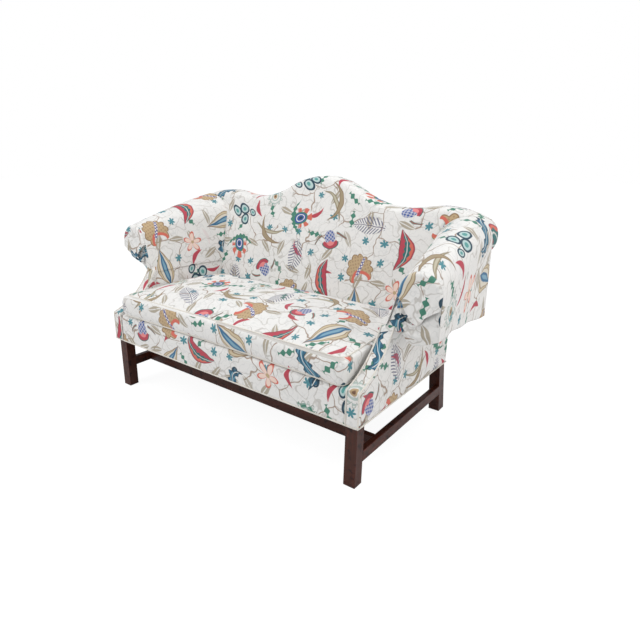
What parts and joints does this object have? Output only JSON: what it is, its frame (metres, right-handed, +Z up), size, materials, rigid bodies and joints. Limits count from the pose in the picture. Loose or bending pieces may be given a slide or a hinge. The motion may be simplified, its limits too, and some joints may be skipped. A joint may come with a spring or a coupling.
{
  "type": "camelback sofa",
  "caption": "Two-seat sofa with a camel crest, rolled arms, loose bench cushion, loose arm covers, printed cover and square stretchered legs.",
  "frame": {"origin": "on the floor, under the middle of the sofa's overall box", "axes": "+X to the sitter's left hand, -Y the front, +Z up"},
  "size_m": [1.5448, 0.7572, 0.906],
  "materials": {
    "leg_wood": "dark polished mahogany",
    "frame_wood": "plain sawn hardwood",
    "steel": "plain spring steel",
    "jute": "coarse jute",
    "padding": "cotton and polyester batting",
    "print_linen": "off-white linen with a floral print",
    "welt_cloth": "cord covered with the same linen",
    "deck_cloth": "plain cotton",
    "dust_cloth": "black non-woven cloth",
    "zipper_tape": "woven tape with coil teeth",
    "brass": "satin"
  },
  "bodies": {
    "frame": {"arm_facing_left": "print_linen", "arm_facing_right": "print_linen", "arm_padding_left": "padding", "arm_padding_right": "padding", "arm_post_left": "frame_wood", "arm_post_right": "frame_wood", "arm_tack_rail_left": "frame_wood", "arm_tack_rail_right": "frame_wood", "arm_top_rail_left": "frame_wood", "arm_top_rail_right": "frame_wood", "arm_wing_left": "frame_wood", "arm_wing_right": "frame_wood", "back_leg_left": "leg_wood", "back_leg_right": "leg_wood", "back_padding": "padding", "back_post_left": "frame_wood", "back_post_right": "frame_wood", "back_seat_rail": "frame_wood", "back_tack_rail": "frame_wood", "back_upright_left": "frame_wood", "back_upright_right": "frame_wood", "back_webbing": "jute", "bottom_welt": "welt_cloth", "corner_block_screws": "steel", "corner_blocks": "frame_wood", "crest_rail": "frame_wood", "cross_stretcher": "leg_wood", "deck_cloth": "deck_cloth", "deck_pad": "padding", "dust_cover": "dust_cloth", "facing_welts": "welt_cloth", "frame_dowels": "frame_wood", "front_band_cover": "print_linen", "front_band_pad": "padding", "front_leg_left": "leg_wood", "front_leg_right": "leg_wood", "front_seat_rail": "frame_wood", "inside_arm_cover_left": "print_linen", "inside_arm_cover_right": "print_linen", "inside_back_cover": "print_linen", "outside_arm_cover_left": "print_linen", "outside_arm_cover_right": "print_linen", "outside_back_cover": "print_linen", "scroll_panel_left": "print_linen", "scroll_panel_right": "print_linen", "seat_burlap": "jute", "side_seat_rail_left": "frame_wood", "side_seat_rail_right": "frame_wood", "side_stretcher_left": "leg_wood", "side_stretcher_right": "leg_wood", "sinuous_springs": "steel", "spring_clips": "steel"},
    "seat_cushion": {"cushion_filling": "padding", "cushion_cover": "print_linen", "cushion_welts": "welt_cloth", "zipper_tape": "zipper_tape"},
    "zipper_slider": {"zipper_slider": "brass"},
    "arm_cover_left": {"arm_cover_left": "print_linen"},
    "arm_cover_right": {"arm_cover_right": "print_linen"}
  },
  "joints": [
    {"name": "cushion_lift", "type": "slide", "parent": "frame", "child": "seat_cushion", "axis": [0, 0, 1], "range_m": [0, 0.6]},
    {"name": "zipper_slide", "type": "slide", "parent": "seat_cushion", "child": "zipper_slider", "axis": [-1, 0, 0], "range_m": [0, 0.76]},
    {"name": "arm_cover_left_lift", "type": "slide", "parent": "frame", "child": "arm_cover_left", "axis": [0, 0, 1], "range_m": [0, 0.6]},
    {"name": "arm_cover_right_lift", "type": "slide", "parent": "frame", "child": "arm_cover_right", "axis": [0, 0, 1], "range_m": [0, 0.6]}
  ]
}
